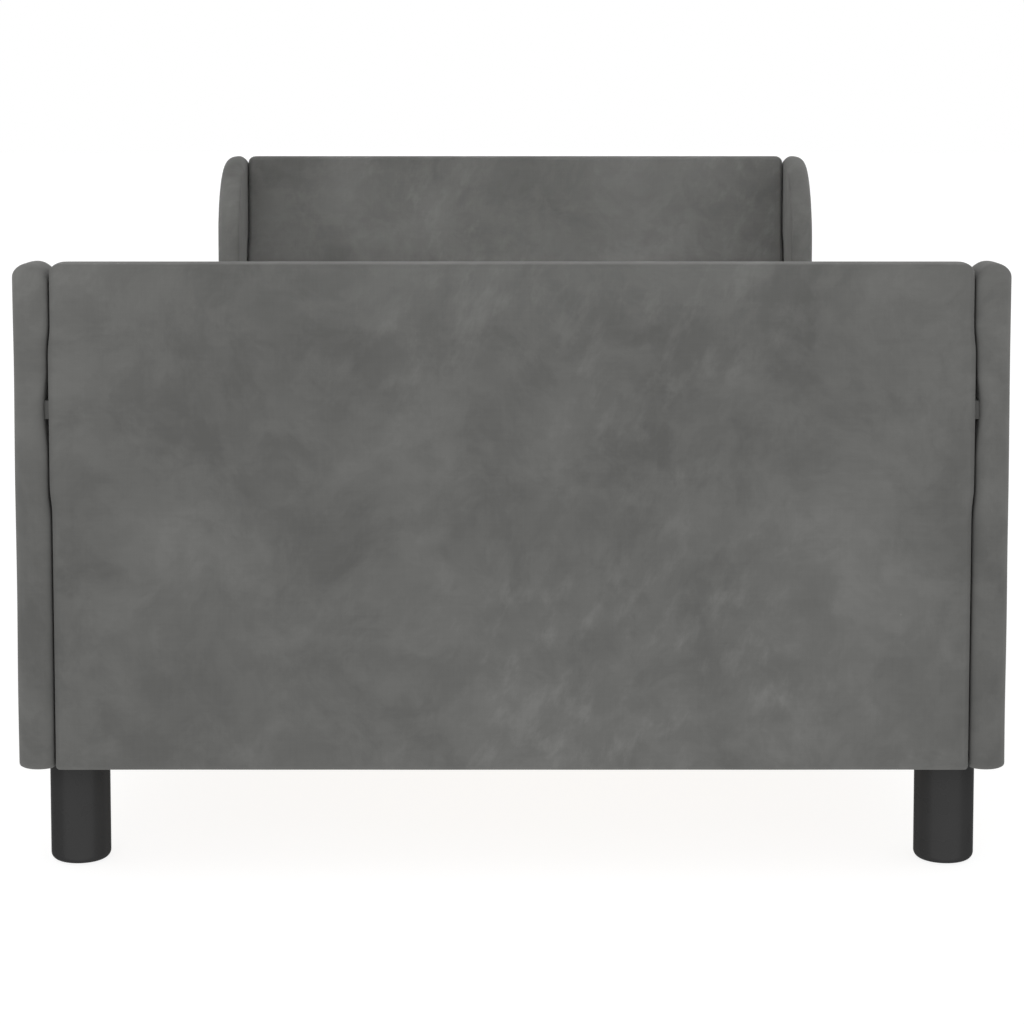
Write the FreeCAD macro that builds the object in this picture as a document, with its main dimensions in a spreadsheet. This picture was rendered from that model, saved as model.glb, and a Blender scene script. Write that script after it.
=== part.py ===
import FreeCAD, Part
import os
import re
from math import radians

import Sketcher

# Toddler bed: padded head and foot boards with a padded wing at each corner, padded side rails,
# a slatted base, a foam mattress and four round legs.
#
# Frame: millimetres, +Z up, origin on the floor under the middle of the bed, +Y towards the head.
# "left" is -X and "right" is +X, as seen from the foot of the bed.

V = FreeCAD.Vector
doc = FreeCAD.newDocument("toddler_bed")

# ---------------------------------------------------------------------------------------------
# Driving sizes
# ---------------------------------------------------------------------------------------------

SIZES = {
    # whole bed
    "bed_width": (778, "over the outer faces of the wings"),
    "bed_length": (1500, "over the outer faces of the two boards"),
    "head_height": (540, "top of the headboard and its wings"),
    "foot_height": (486, "top of the footboard and its wings"),
    # legs
    "leg_height": (86, "floor to the underside of the upholstery"),
    "leg_radius": (24, "round leg"),
    "leg_edge_round": (6, "rounded lower edge of a leg"),
    "leg_from_side": (39.5, "leg axis to the bed's side"),
    "leg_from_end": (62, "leg axis to the bed's end"),
    # head and foot boards
    "board_width": (718, "over the upholstery"),
    "board_thickness": (40, "over the upholstery"),
    "board_padding": (7, "foam and velvet on each face of a board"),
    "board_round": (5, "rounded edges of a board's upholstery"),
    "ply_thickness": (3, "plywood face of a board"),
    "timber_width": (60, "stiles and rails inside a board"),
    # wings
    "wing_gap": (1.5, "between a board's end and the wing beside it"),
    "wing_reach": (145, "wing along the bed, from the end of the bed"),
    "wing_corner": (109, "large round top corner of a wing"),
    "wing_core": (15, "plywood inside a wing or side rail"),
    "wing_round": (8, "rounded edges of the upholstery on wings and side rails"),
    "hem_round": (3, "rounding where the upholstery turns under"),
    "hem_fold": (1.5, "cloth turned under a board, wing or side rail"),
    # wing brackets
    "bracket_height": (371, "middle of the bracket above the floor"),
    "bracket_tall": (14.5, "bracket, up and down"),
    "bracket_grip": (7, "how far a bracket goes into each timber"),
    # side rails
    "rail_top": (296, "top of a side rail's upholstery"),
    "rail_gap": (1, "between a side rail's end and the wing beside it"),
    # slatted base
    "ledger_size": (22, "square batten that carries the slats"),
    "slat_seat": (168, "underside of the slats"),
    "slat_width": (68, "slat along the bed"),
    "slat_thickness": (15, "slat"),
    "slat_first": (78, "middle of the first slat to the end of the bed"),
    "slat_round": (2.5, "rounded long edges of a slat"),
    "slat_play": (3, "free space past both ends of a slat together"),
    # corner blocks
    "block_size": (60, "corner block, both ways"),
    # fasteners
    "bolt_radius": (4, "bolts and leg studs"),
    "bolt_head_radius": (6.5, "bolt heads"),
    "bolt_head_height": (8, "bolt heads"),
    "bolt_key_radius": (3.5, "hexagonal socket of a bolt head, middle to corner"),
    "bolt_spread": (22.5, "board bolts above and below the wing bolt"),
    "nut_flange_radius": (9.5, "tee nut's flange"),
    "nut_flange": (1.5, "tee nut's flange, thickness"),
    "nut_barrel_radius": (5.5, "tee nut's barrel"),
    "nut_length": (10, "tee nut, over all"),
    "stud_grip": (34, "leg stud in the corner block and in the leg, each"),
    "screw_radius": (2.2, "wood screws"),
    "screw_head_radius": (4.2, "wood screw heads"),
    "screw_head_height": (2.6, "wood screw heads, countersunk"),
    "slat_screw_length": (32, "slat to ledger"),
    "ledger_screw_length": (38, "ledger to side rail"),
    "plate_screw_length": (24, "joining plate to side rail or wing"),
    # joining plates
    "plate_length": (96, "joining plate along the bed"),
    "plate_tall": (40, "joining plate, up and down"),
    "plate_thickness": (3, "joining plate"),
    "plate_middle": (215, "middle of a joining plate above the floor"),
    "plate_screw_in": (14, "first screw to the end of a joining plate"),
    "plate_screw_step": (20, "between two screws of one end"),
    # mattress
    "mattress_width": (700, "mattress"),
    "mattress_length": (1400, "mattress"),
    "mattress_thickness": (100, "mattress"),
    "mattress_corner": (40, "rounded corners seen from above"),
    "mattress_edge": (14, "rounded upper and lower edges"),
    "mattress_cloth": (3, "quilted cover"),
    "mattress_lie": (0.3, "free space between the slats and the mattress"),
}
SLAT_COUNT = 12
LEDGER_SCREW_COUNT = 5

sheet = doc.addObject("Spreadsheet::Sheet", "sizes")
for row, (alias, (value, note)) in enumerate(SIZES.items(), start=1):
    sheet.set(f"A{row}", alias)
    sheet.set(f"B{row}", str(value))
    sheet.set(f"C{row}", note)
    sheet.setAlias(f"B{row}", alias)
doc.recompute()

SKETCH_START = 100            # side of a rectangle's sketch before its sizes are set

WORD = re.compile(r"\b(" + "|".join(sorted(SIZES, key=len, reverse=True)) + r")\b")


def size(alias):
    """The value of one size, in mm."""
    return SIZES[alias][0]


def cells(text):
    """The expression text with each size's name pointing at its cell."""
    return WORD.sub(r"sizes.\1", str(text))


def bind(thing, **properties):
    """Binds properties to expressions of the sizes; two underscores in a name stand for a dot."""
    for name, text in properties.items():
        thing.setExpression(name.replace("__", "."), cells(text))


def place(thing, spot, turn=None):
    """Puts a thing at spot, three expressions, after turning it: turn is (axis, degrees)."""
    if turn:
        thing.Placement = FreeCAD.Placement(V(), FreeCAD.Rotation(*turn))
    bind(thing, Placement__Base__x=spot[0], Placement__Base__y=spot[1], Placement__Base__z=spot[2])
    return thing


# Named places, as expressions
HALF_W = "bed_width / 2"
HALF_L = "bed_length / 2"
WING_THICK = f"({HALF_W} - board_width / 2 - wing_gap)"
WING_IN = "(board_width / 2 + wing_gap)"
WING_PAD = f"({WING_THICK} - wing_core) / 2"
BOARD_IN = f"({HALF_L} - board_thickness)"
TIMBER = "(board_thickness - 2 * board_padding - 2 * ply_thickness)"
BOLT_X = f"({WING_IN} - block_size / 2)"
BOLT_Y = f"({BOARD_IN} - block_size / 2)"
BOLT_Z = "(leg_height + (slat_seat - leg_height) / 2)"
CORE_LOW = "(leg_height + hem_fold)"
SLAT_TOP = "(slat_seat + slat_thickness)"
RAIL_END = f"({HALF_L} - wing_reach - rail_gap)"
PLATE_MID = f"({HALF_L} - wing_reach)"

SIDES = (("left", -1), ("right", 1))
ENDS = (("footboard", -1, "foot_height"), ("headboard", 1, "head_height"))


# ---------------------------------------------------------------------------------------------
# Building blocks
# ---------------------------------------------------------------------------------------------

def span(low, high, sign):
    """Start and length of a stretch between two distances from the middle, on the side of sign."""
    return (low if sign > 0 else f"-({high})"), f"({high}) - ({low})"


def box(label, x, y, z):
    """A square block; x, y and z are each (start, length)."""
    block = doc.addObject("Part::Box", label)
    block.Label = label
    bind(block, Length=x[1], Width=y[1], Height=z[1])
    return place(block, (x[0], y[0], z[0]))


def cylinder(label, radius, height, spot, turn=None):
    rod = doc.addObject("Part::Cylinder", label)
    bind(rod, Radius=radius, Height=height)
    return place(rod, spot, turn)


def fuse(label, *pieces):
    joined = doc.addObject("Part::MultiFuse", label)
    joined.Shapes = list(pieces)
    return joined


def group(label, pieces):
    """Separate solids kept together as one node."""
    together = doc.addObject("Part::Compound", label)
    together.Label = label
    together.Links = pieces
    return together


def cut(label, base, *tools):
    """Base with every tool's room taken out of it."""
    base.Label = f"{label}_blank"
    for count, tool in enumerate(tools, start=1):
        result = doc.addObject("Part::Cut", label)
        result.Base = base
        result.Tool = tool
        result.Label = label if count == len(tools) else f"{label}_step_{count}"
        base = result
    return base


def origin_plane(body, role):
    return next(plane for plane in body.Origin.OriginFeatures if plane.Role == role)


def outline(body, role, edges, sizes):
    """A closed, fully sized sketch on one of the body's origin planes.

    edges are the lines and arcs in order, each starting where the last one ended, the first at
    the body's origin. sizes are (constraint kind, edge number, expression).
    """
    sketch = body.newObject("Sketcher::SketchObject", f"{body.Name}_sketch")
    sketch.AttachmentSupport = [(origin_plane(body, role), "")]
    sketch.MapMode = "FlatFace"
    last = len(edges) - 1
    arcs = [i for i, edge in enumerate(edges) if isinstance(edge, Part.ArcOfCircle)]
    for edge in edges:
        sketch.addGeometry(edge, False)
    for i, edge in enumerate(edges):
        following = 0 if i == last else i + 1
        if i in arcs or following in arcs:
            sketch.addConstraint(Sketcher.Constraint("Tangent", i, 2, following, 1))
        else:
            sketch.addConstraint(Sketcher.Constraint("Coincident", i, 2, following, 1))
        if i not in arcs:
            flat = abs(edge.StartPoint.y - edge.EndPoint.y) < 1e-6
            sketch.addConstraint(Sketcher.Constraint("Horizontal" if flat else "Vertical", i))
    sketch.addConstraint(Sketcher.Constraint("Coincident", 0, 1, -1, 1))
    for kind, i, text in sizes:
        start, end = (edges[i].StartPoint, edges[i].EndPoint) if i not in arcs else (None, None)
        if kind == "Radius":
            number = sketch.addConstraint(Sketcher.Constraint(kind, i, edges[i].Radius))
        else:
            reach = end.x - start.x if kind == "DistanceX" else end.y - start.y
            first, second = (1, 2) if reach > 0 else (2, 1)
            number = sketch.addConstraint(Sketcher.Constraint(kind, i, first, i, second, abs(reach)))
        name = f"{kind}_{i}"
        sketch.renameConstraint(number, name)
        sketch.setExpression(f".Constraints.{name}", cells(text))
    return sketch


def line(x0, y0, x1, y1):
    return Part.LineSegment(V(x0, y0, 0), V(x1, y1, 0))


def arc(x, y, radius, start, end):
    """Part of a circle about (x, y), from one angle to a larger one, in degrees."""
    circle = Part.Circle(V(x, y, 0), V(0, 0, 1), radius)
    return Part.ArcOfCircle(circle, radians(start), radians(end))


def pad(body, sketch, length):
    feature = body.newObject("PartDesign::Pad", f"{body.Name}_pad")
    feature.Profile = sketch
    sketch.Visibility = False
    bind(feature, Length=length)
    doc.recompute()
    return feature


def round_edges(body, radius, wanted):
    """Rounds those edges of the body's last feature that the function wanted picks."""
    base = body.Tip
    names = [f"Edge{i}" for i, edge in enumerate(base.Shape.Edges, start=1) if wanted(edge)]
    feature = body.newObject("PartDesign::Fillet", f"{body.Name}_round")
    feature.Base = (base, names)
    bind(feature, Radius=radius)
    doc.recompute()
    return feature


def at_bottom(edge):
    return edge.BoundBox.ZMax < 0.01


def not_at_bottom(edge):
    return not at_bottom(edge)


def upright(edge):
    return edge.BoundBox.ZLength > edge.BoundBox.XLength + edge.BoundBox.YLength


def rectangle_body(label, width, depth, height):
    """A rectangular block with one corner at its own origin, sketched flat and padded up."""
    body = doc.addObject("PartDesign::Body", label)
    body.Label = label
    edges = [
        line(0, 0, SKETCH_START, 0),
        line(SKETCH_START, 0, SKETCH_START, SKETCH_START),
        line(SKETCH_START, SKETCH_START, 0, SKETCH_START),
        line(0, SKETCH_START, 0, 0),
    ]
    sketch = outline(body, "XY_Plane", edges, [("DistanceX", 0, width), ("DistanceY", 1, depth)])
    pad(body, sketch, height)
    return body


def upholstered_block(label, x, y, z, rounding):
    """A padded block, softly rounded, a little sharper where the cloth turns under."""
    body = rectangle_body(label, x[1], y[1], z[1])
    round_edges(body, rounding, not_at_bottom)
    round_edges(body, "hem_round", at_bottom)
    return place(body, (x[0], y[0], z[0]))


# ---------------------------------------------------------------------------------------------
# Fasteners. They come first, because the pieces that they pass through make room for them.
# ---------------------------------------------------------------------------------------------

X_AXIS, Y_AXIS = V(1, 0, 0), V(0, 1, 0)


def towards(axis, sign):
    """The turn that points something made along +Z along an axis instead."""
    if axis == "x":
        return (Y_AXIS, 90 * sign)
    if axis == "y":
        return (X_AXIS, -90 * sign)
    return (X_AXIS, 0 if sign > 0 else 180)


def bolt(label, shank, spot, turn):
    """A cap-head bolt: its head's underside is at spot and its shank runs along +Z before turning."""
    rod = cylinder(f"{label}_rod", "bolt_radius", shank, ("0", "0", "0"))
    head = cylinder(f"{label}_head", "bolt_head_radius", "bolt_head_height",
                    ("0", "0", "-bolt_head_height"))
    key = doc.addObject("Part::Prism", f"{label}_key")
    key.Polygon = 6
    bind(key, Circumradius="bolt_key_radius", Height="bolt_head_height / 2")
    place(key, ("0", "0", "-bolt_head_height"))
    blank = fuse(f"{label}_blank", rod, head)
    whole = doc.addObject("Part::Cut", label)
    whole.Base = blank
    whole.Tool = key
    return place(whole, spot, turn)


def screw(label, length, spot, turn):
    """A countersunk wood screw: the top of its head is at spot and it runs along +Z before turning."""
    head = doc.addObject("Part::Cone", f"{label}_head")
    bind(head, Radius1="screw_head_radius", Radius2="screw_radius", Height="screw_head_height")
    rod = cylinder(f"{label}_rod", "screw_radius", length, ("0", "0", "0"))
    return place(fuse(label, head, rod), spot, turn)


def tee_nut(label, spot, turn):
    """A tee nut: its flange starts at spot and its barrel runs along +Z before turning."""
    flange = cylinder(f"{label}_flange", "nut_flange_radius", "nut_flange", ("0", "0", "0"))
    barrel = cylinder(f"{label}_barrel", "nut_barrel_radius", "nut_length", ("0", "0", "0"))
    bore = cylinder(f"{label}_bore", "bolt_radius", "nut_length", ("0", "0", "0"))
    whole = doc.addObject("Part::Cut", label)
    whole.Base = fuse(f"{label}_blank", flange, barrel)
    whole.Tool = bore
    return place(whole, spot, turn)


def corner_fasteners():
    """Board bolts, wing bolts, tee nuts and leg studs of the four corners."""
    board_bolts, wing_bolts, nuts, studs = [], [], [], []
    stile_back = f"({HALF_L} - board_padding - ply_thickness)"
    core_back = f"({HALF_W} - {WING_PAD})"
    for end, along, _ in ENDS:
        for side, across in SIDES:
            name = f"{end}_{side}"
            block_face = f"{along} * ({BOARD_IN} - block_size)"
            for level, step in (("low", -1), ("high", 1)):
                spot = [f"{across} * {BOLT_X}", block_face, f"{BOLT_Z} + {step} * bolt_spread"]
                shank = f"{stile_back} - {BOARD_IN} + block_size"
                board_bolts.append(bolt(f"board_bolt_{name}_{level}", shank, spot, towards("y", along)))
                spot[1] = f"{along} * {stile_back}"
                nuts.append(tee_nut(f"board_nut_{name}_{level}", spot, towards("y", -along)))
            spot = [f"{across} * ({WING_IN} - block_size)", f"{along} * {BOLT_Y}", BOLT_Z]
            shank = f"{core_back} - {WING_IN} + block_size"
            wing_bolts.append(bolt(f"wing_bolt_{name}", shank, spot, towards("x", across)))
            spot[0] = f"{across} * {core_back}"
            nuts.append(tee_nut(f"wing_nut_{name}", spot, towards("x", -across)))
            spot = (
                f"{across} * ({HALF_W} - leg_from_side)",
                f"{along} * ({HALF_L} - leg_from_end)",
                "leg_height - stud_grip",
            )
            studs.append(cylinder(f"leg_stud_{name}", "bolt_radius", "2 * stud_grip", spot))
    return (
        group("board_bolts", board_bolts),
        group("wing_bolts", wing_bolts),
        group("tee_nuts", nuts),
        group("leg_studs", studs),
    )


def slat_middle(number):
    """Where slat number 0, 1, 2 ... lies along the bed, as an expression."""
    return f"({HALF_L} - slat_first) * {2 * number - (SLAT_COUNT - 1)} / {SLAT_COUNT - 1}"


def slat_fasteners():
    screws = []
    for number in range(SLAT_COUNT):
        for side, across in SIDES:
            spot = (f"{across} * ({WING_IN} - ledger_size / 2)", slat_middle(number), SLAT_TOP)
            screws.append(screw(f"slat_screw_{side}_{number}", "slat_screw_length", spot,
                                towards("z", -1)))
    return group("slat_screws", screws)


def ledger_fasteners():
    """Screws through each ledger into its side rail, halfway between two slats."""
    screws = []
    middle = (LEDGER_SCREW_COUNT - 1) / 2
    for number in range(LEDGER_SCREW_COUNT):
        for side, across in SIDES:
            spot = (
                f"{across} * ({WING_IN} - ledger_size)",
                f"({HALF_L} - slat_first) * {4 * (number - middle)} / {SLAT_COUNT - 1}",
                "slat_seat - ledger_size / 2",
            )
            screws.append(screw(f"ledger_screw_{side}_{number}", "ledger_screw_length", spot,
                                towards("x", across)))
    return group("ledger_screws", screws)


def plate_fasteners():
    """Four screws in each steel plate: two into the side rail and two into the wing."""
    screws = []
    offsets = (
        "-plate_length / 2 + plate_screw_in",
        "-plate_length / 2 + plate_screw_in + plate_screw_step",
        "plate_length / 2 - plate_screw_in - plate_screw_step",
        "plate_length / 2 - plate_screw_in",
    )
    for end, along, _ in ENDS:
        for side, across in SIDES:
            for number, offset in enumerate(offsets):
                spot = (
                    f"{across} * ({WING_IN} - plate_thickness)",
                    f"{along} * {PLATE_MID} + ({offset})",
                    "plate_middle",
                )
                screws.append(screw(f"plate_screw_{end}_{side}_{number}", "plate_screw_length",
                                    spot, towards("x", across)))
    return group("plate_screws", screws)


board_bolts, wing_bolts, tee_nuts, leg_studs = corner_fasteners()
slat_screws = slat_fasteners()
ledger_screws = ledger_fasteners()
plate_screws = plate_fasteners()


# ---------------------------------------------------------------------------------------------
# Wing brackets: flat tongues that join each wing to its board, high up
# ---------------------------------------------------------------------------------------------

def make_brackets():
    brackets = []
    for end, along, _ in ENDS:
        for side, across in SIDES:
            low = "board_width / 2 - board_padding - bracket_grip"
            high = f"{WING_IN} + {WING_PAD} + bracket_grip"
            y_near = f"{HALF_L} - board_padding - ply_thickness - {TIMBER}"
            y_far = f"{HALF_L} - board_padding - ply_thickness"
            brackets.append(box(
                f"bracket_{end}_{side}",
                span(low, high, across),
                span(y_near, y_far, along),
                ("bracket_height - bracket_tall / 2", "bracket_tall"),
            ))
    return group("wing_brackets", brackets)


wing_brackets = make_brackets()


# ---------------------------------------------------------------------------------------------
# Head and foot boards: timber frame, a plywood face on each side, upholstery over both
# ---------------------------------------------------------------------------------------------

def make_board(end, along, top):
    half = "(board_width / 2 - board_padding)"
    tall = f"{top} - board_padding - {CORE_LOW}"
    outer_face = f"{HALF_L} - board_padding"
    frame_y = span(f"{outer_face} - ply_thickness - {TIMBER}", f"{outer_face} - ply_thickness", along)
    parts = []

    for side, across in SIDES:
        stile = box(
            f"{end}_stile_{side}",
            span(f"{half} - timber_width", half, across),
            frame_y,
            (CORE_LOW, tall),
        )
        parts.append(cut(f"{end}_stile_{side}", stile, board_bolts, tee_nuts, wing_brackets))

    between = (f"-({half} - timber_width)", f"2 * ({half} - timber_width)")
    parts.append(box(f"{end}_bottom_rail", between, frame_y, (CORE_LOW, "timber_width")))
    parts.append(box(f"{end}_top_rail", between, frame_y,
                     (f"{top} - board_padding - timber_width", "timber_width")))

    whole = (f"-{half}", f"2 * {half}")
    outer = span(f"{outer_face} - ply_thickness", outer_face, along)
    inner_face = f"{BOARD_IN} + board_padding"
    inner = span(inner_face, f"{inner_face} + ply_thickness", along)
    parts.append(box(f"{end}_outer_ply", whole, outer, (CORE_LOW, tall)))
    inner_ply = box(f"{end}_inner_ply", whole, inner, (CORE_LOW, tall))
    parts.append(cut(f"{end}_inner_ply", inner_ply, board_bolts))

    padded = upholstered_block(
        f"{end}_upholstery",
        ("-board_width / 2", "board_width"),
        span(BOARD_IN, HALF_L, along),
        ("leg_height", f"{top} - leg_height"),
        "board_round",
    )
    frame_room = box(f"{end}_frame_room", whole, span(inner_face, outer_face, along),
                     (CORE_LOW, tall))
    parts.append(cut(f"{end}_upholstery", padded, frame_room, board_bolts, wing_brackets))
    return parts


# ---------------------------------------------------------------------------------------------
# Wings: a plywood core with one large round corner, and upholstery over it
# ---------------------------------------------------------------------------------------------

def wing_body(label, inset, low, thickness, top):
    """A wing's side outline from low up, smaller by inset at its ends and top, padded across the bed.

    Its own origin is at the bottom of its straight edge, at the end of the bed.
    """
    body = doc.addObject("PartDesign::Body", label)
    body.Label = label
    deep, curve = size("wing_reach"), size("wing_corner")
    tall = size("foot_height") - size("leg_height")
    edges = [
        line(0, 0, deep, 0),
        line(deep, 0, deep, tall - curve),
        arc(deep - curve, tall - curve, curve, 0, 90),
        line(deep - curve, tall, 0, tall),
        line(0, tall, 0, 0),
    ]
    sizes = [
        ("DistanceX", 0, f"wing_reach - 2 * ({inset})"),
        ("DistanceY", 4, f"{top} - {low} - ({inset})"),
        ("Radius", 2, f"wing_corner - ({inset})"),
    ]
    pad(body, outline(body, "YZ_Plane", edges, sizes), thickness)
    return body


def stand_wing(body, inset, low, across, along):
    """Puts a wing at its corner of the bed. Those at the head are turned to face the foot."""
    near, far = f"{WING_IN} + ({inset})", f"{HALF_W} - ({inset})"
    left = near if across > 0 else f"-({far})"
    right = far if across > 0 else f"-({near})"
    turn = (V(0, 0, 1), 180) if along > 0 else None
    corner = (right if along > 0 else left, f"{along} * ({HALF_L} - ({inset}))", low)
    return place(body, corner, turn)


def make_wing(end, along, side, across, top):
    core_blank = wing_body(f"{end}_wing_core_{side}", WING_PAD, CORE_LOW, "wing_core", top)
    stand_wing(core_blank, WING_PAD, CORE_LOW, across, along)
    padded = wing_body(f"{end}_wing_upholstery_{side}", "0", "leg_height", WING_THICK, top)
    round_edges(padded, "wing_round", not_at_bottom)
    round_edges(padded, "hem_round", at_bottom)
    stand_wing(padded, "0", "leg_height", across, along)
    upholstery = cut(f"{end}_wing_upholstery_{side}", padded, core_blank, wing_bolts, plate_screws,
                     wing_brackets)
    core = cut(f"{end}_wing_core_{side}", core_blank, wing_bolts, tee_nuts, plate_screws,
               wing_brackets)
    return [core, upholstery]


# ---------------------------------------------------------------------------------------------
# Side rails, ledgers and joining plates
# ---------------------------------------------------------------------------------------------

def make_side(side, across):
    core_x = span(f"{WING_IN} + {WING_PAD}", f"{HALF_W} - {WING_PAD}", across)
    core_y = (f"-({RAIL_END} - {WING_PAD})", f"2 * ({RAIL_END} - {WING_PAD})")
    board = box(f"side_rail_board_{side}", core_x, core_y,
                (CORE_LOW, f"rail_top - {CORE_LOW} - {WING_PAD}"))
    padded = upholstered_block(
        f"side_rail_upholstery_{side}",
        span(WING_IN, HALF_W, across),
        (f"-{RAIL_END}", f"2 * {RAIL_END}"),
        ("leg_height", "rail_top - leg_height"),
        "wing_round",
    )
    upholstery = cut(f"side_rail_upholstery_{side}", padded, board, ledger_screws, plate_screws)
    core = cut(f"side_rail_board_{side}", board, ledger_screws, plate_screws)

    ledger_end = f"({BOARD_IN} - block_size)"
    ledger = box(
        f"slat_ledger_{side}",
        span(f"{WING_IN} - ledger_size", WING_IN, across),
        (f"-{ledger_end}", f"2 * {ledger_end}"),
        ("slat_seat - ledger_size", "ledger_size"),
    )
    return [core, upholstery, cut(f"slat_ledger_{side}", ledger, ledger_screws, slat_screws)]


def make_plates():
    plates = []
    for end, along, _ in ENDS:
        for side, across in SIDES:
            name = f"rail_plate_{end}_{side}"
            plate = box(
                name,
                span(f"{WING_IN} - plate_thickness", WING_IN, across),
                (f"{along} * {PLATE_MID} - plate_length / 2", "plate_length"),
                ("plate_middle - plate_tall / 2", "plate_tall"),
            )
            plates.append(cut(name, plate, plate_screws))
    return group("rail_plates", plates)


# ---------------------------------------------------------------------------------------------
# Corner blocks and legs
# ---------------------------------------------------------------------------------------------

def make_corner_block(end, along, side, across):
    block = box(
        f"{end}_corner_block_{side}",
        span(f"{WING_IN} - block_size", WING_IN, across),
        span(f"{BOARD_IN} - block_size", BOARD_IN, along),
        ("leg_height", "slat_seat - leg_height"),
    )
    return cut(f"{end}_corner_block_{side}", block, board_bolts, wing_bolts, leg_studs, slat_screws)


def make_leg(end, along, side, across):
    """A turned leg: straight sides and a rounded lower edge."""
    label = f"{end}_leg_{side}"
    body = doc.addObject("PartDesign::Body", label)
    body.Label = label
    wide, tall, soft = size("leg_radius"), size("leg_height"), size("leg_edge_round")
    edges = [
        line(0, 0, wide - soft, 0),
        arc(wide - soft, soft, soft, -90, 0),
        line(wide, soft, wide, tall),
        line(wide, tall, 0, tall),
        line(0, tall, 0, 0),
    ]
    sizes = [
        ("DistanceX", 3, "leg_radius"),
        ("DistanceY", 4, "leg_height"),
        ("Radius", 1, "leg_edge_round"),
    ]
    sketch = outline(body, "XZ_Plane", edges, sizes)
    turned = body.newObject("PartDesign::Revolution", f"{label}_turned")
    turned.Profile = sketch
    turned.ReferenceAxis = (sketch, ["V_Axis"])
    turned.Angle = 360
    place(body, (
        f"{across} * ({HALF_W} - leg_from_side)",
        f"{along} * ({HALF_L} - leg_from_end)",
        "0",
    ))
    return cut(label, body, leg_studs)


# ---------------------------------------------------------------------------------------------
# Slats and mattress
# ---------------------------------------------------------------------------------------------

def make_slat(number):
    label = f"slat_{number + 1:02d}"
    body = rectangle_body(label, f"2 * {WING_IN} - slat_play", "slat_width", "slat_thickness")
    round_edges(body, "slat_round", lambda edge: edge.BoundBox.XLength > 100)
    place(body, (
        f"-({WING_IN} - slat_play / 2)",
        f"{slat_middle(number)} - slat_width / 2",
        "slat_seat",
    ))
    return cut(label, body, slat_screws)


def mattress_block(label, inset):
    body = rectangle_body(
        label,
        f"mattress_width - 2 * ({inset})",
        f"mattress_length - 2 * ({inset})",
        f"mattress_thickness - 2 * ({inset})",
    )
    round_edges(body, f"mattress_corner - ({inset})", upright)
    round_edges(body, f"mattress_edge - ({inset})", lambda edge: not upright(edge))
    return place(body, (
        f"-mattress_width / 2 + ({inset})",
        f"-mattress_length / 2 + ({inset})",
        f"{SLAT_TOP} + mattress_lie + ({inset})",
    ))


def make_mattress():
    core = mattress_block("mattress_core", "mattress_cloth")
    cover = cut("mattress_cover", mattress_block("mattress_cover", "0"), core)
    return [core, cover]


# ---------------------------------------------------------------------------------------------
# The whole bed
# ---------------------------------------------------------------------------------------------

def make_bed():
    parts = [board_bolts, wing_bolts, tee_nuts, leg_studs, slat_screws, ledger_screws, plate_screws]
    parts.append(wing_brackets)
    for end, along, top in ENDS:
        parts += make_board(end, along, top)
        for side, across in SIDES:
            parts += make_wing(end, along, side, across, top)
            parts.append(make_corner_block(end, along, side, across))
            parts.append(make_leg(end, along, side, across))
    for side, across in SIDES:
        parts += make_side(side, across)
    parts.append(make_plates())
    parts += [make_slat(number) for number in range(SLAT_COUNT)]
    parts += make_mattress()
    return parts


bed = make_bed()
doc.recompute()

for thing in doc.Objects:
    if "Invalid" in thing.State or "Error" in thing.State:
        raise RuntimeError(f"{thing.Label} did not rebuild: {thing.State}")
for node in bed:
    if node.Shape.isNull() or not node.Shape.isValid() or not node.Shape.Solids:
        raise RuntimeError(f"{node.Label} has no valid solid")

os.makedirs("parts", exist_ok=True)
for node in bed:
    node.Shape.exportStep(f"parts/{node.Label}.step")
    box_of = node.Shape.BoundBox
    print(f"{node.Label:32s} solids {len(node.Shape.Solids):2d}  volume {node.Shape.Volume / 1000:9.1f} cm3"
          f"  x {box_of.XMin:7.1f} {box_of.XMax:7.1f}  y {box_of.YMin:7.1f} {box_of.YMax:7.1f}"
          f"  z {box_of.ZMin:6.1f} {box_of.ZMax:6.1f}")
print(len(bed), "nodes")
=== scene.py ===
import math

import bmesh
import bpy
import numpy as np
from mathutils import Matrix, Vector, noise


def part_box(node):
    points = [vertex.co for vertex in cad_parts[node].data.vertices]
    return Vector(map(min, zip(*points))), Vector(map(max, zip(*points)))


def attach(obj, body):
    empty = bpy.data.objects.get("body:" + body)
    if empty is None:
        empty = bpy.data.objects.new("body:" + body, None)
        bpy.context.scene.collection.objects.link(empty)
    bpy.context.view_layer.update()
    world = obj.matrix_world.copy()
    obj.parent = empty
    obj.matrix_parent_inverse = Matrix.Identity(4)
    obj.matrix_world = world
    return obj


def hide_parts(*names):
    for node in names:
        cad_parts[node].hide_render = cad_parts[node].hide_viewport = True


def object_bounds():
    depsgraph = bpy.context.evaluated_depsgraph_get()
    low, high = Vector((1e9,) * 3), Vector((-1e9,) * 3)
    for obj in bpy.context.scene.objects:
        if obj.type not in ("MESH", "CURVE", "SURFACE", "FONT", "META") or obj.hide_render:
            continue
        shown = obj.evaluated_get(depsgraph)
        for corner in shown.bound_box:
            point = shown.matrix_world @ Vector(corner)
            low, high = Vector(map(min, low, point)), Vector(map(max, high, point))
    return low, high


# The looks of the toddler bed: velvet upholstery, quilted mattress, legs, timber and steel.
# Metres, in the frame's own axes: X across the bed, +Y towards the headboard, Z up.

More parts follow.
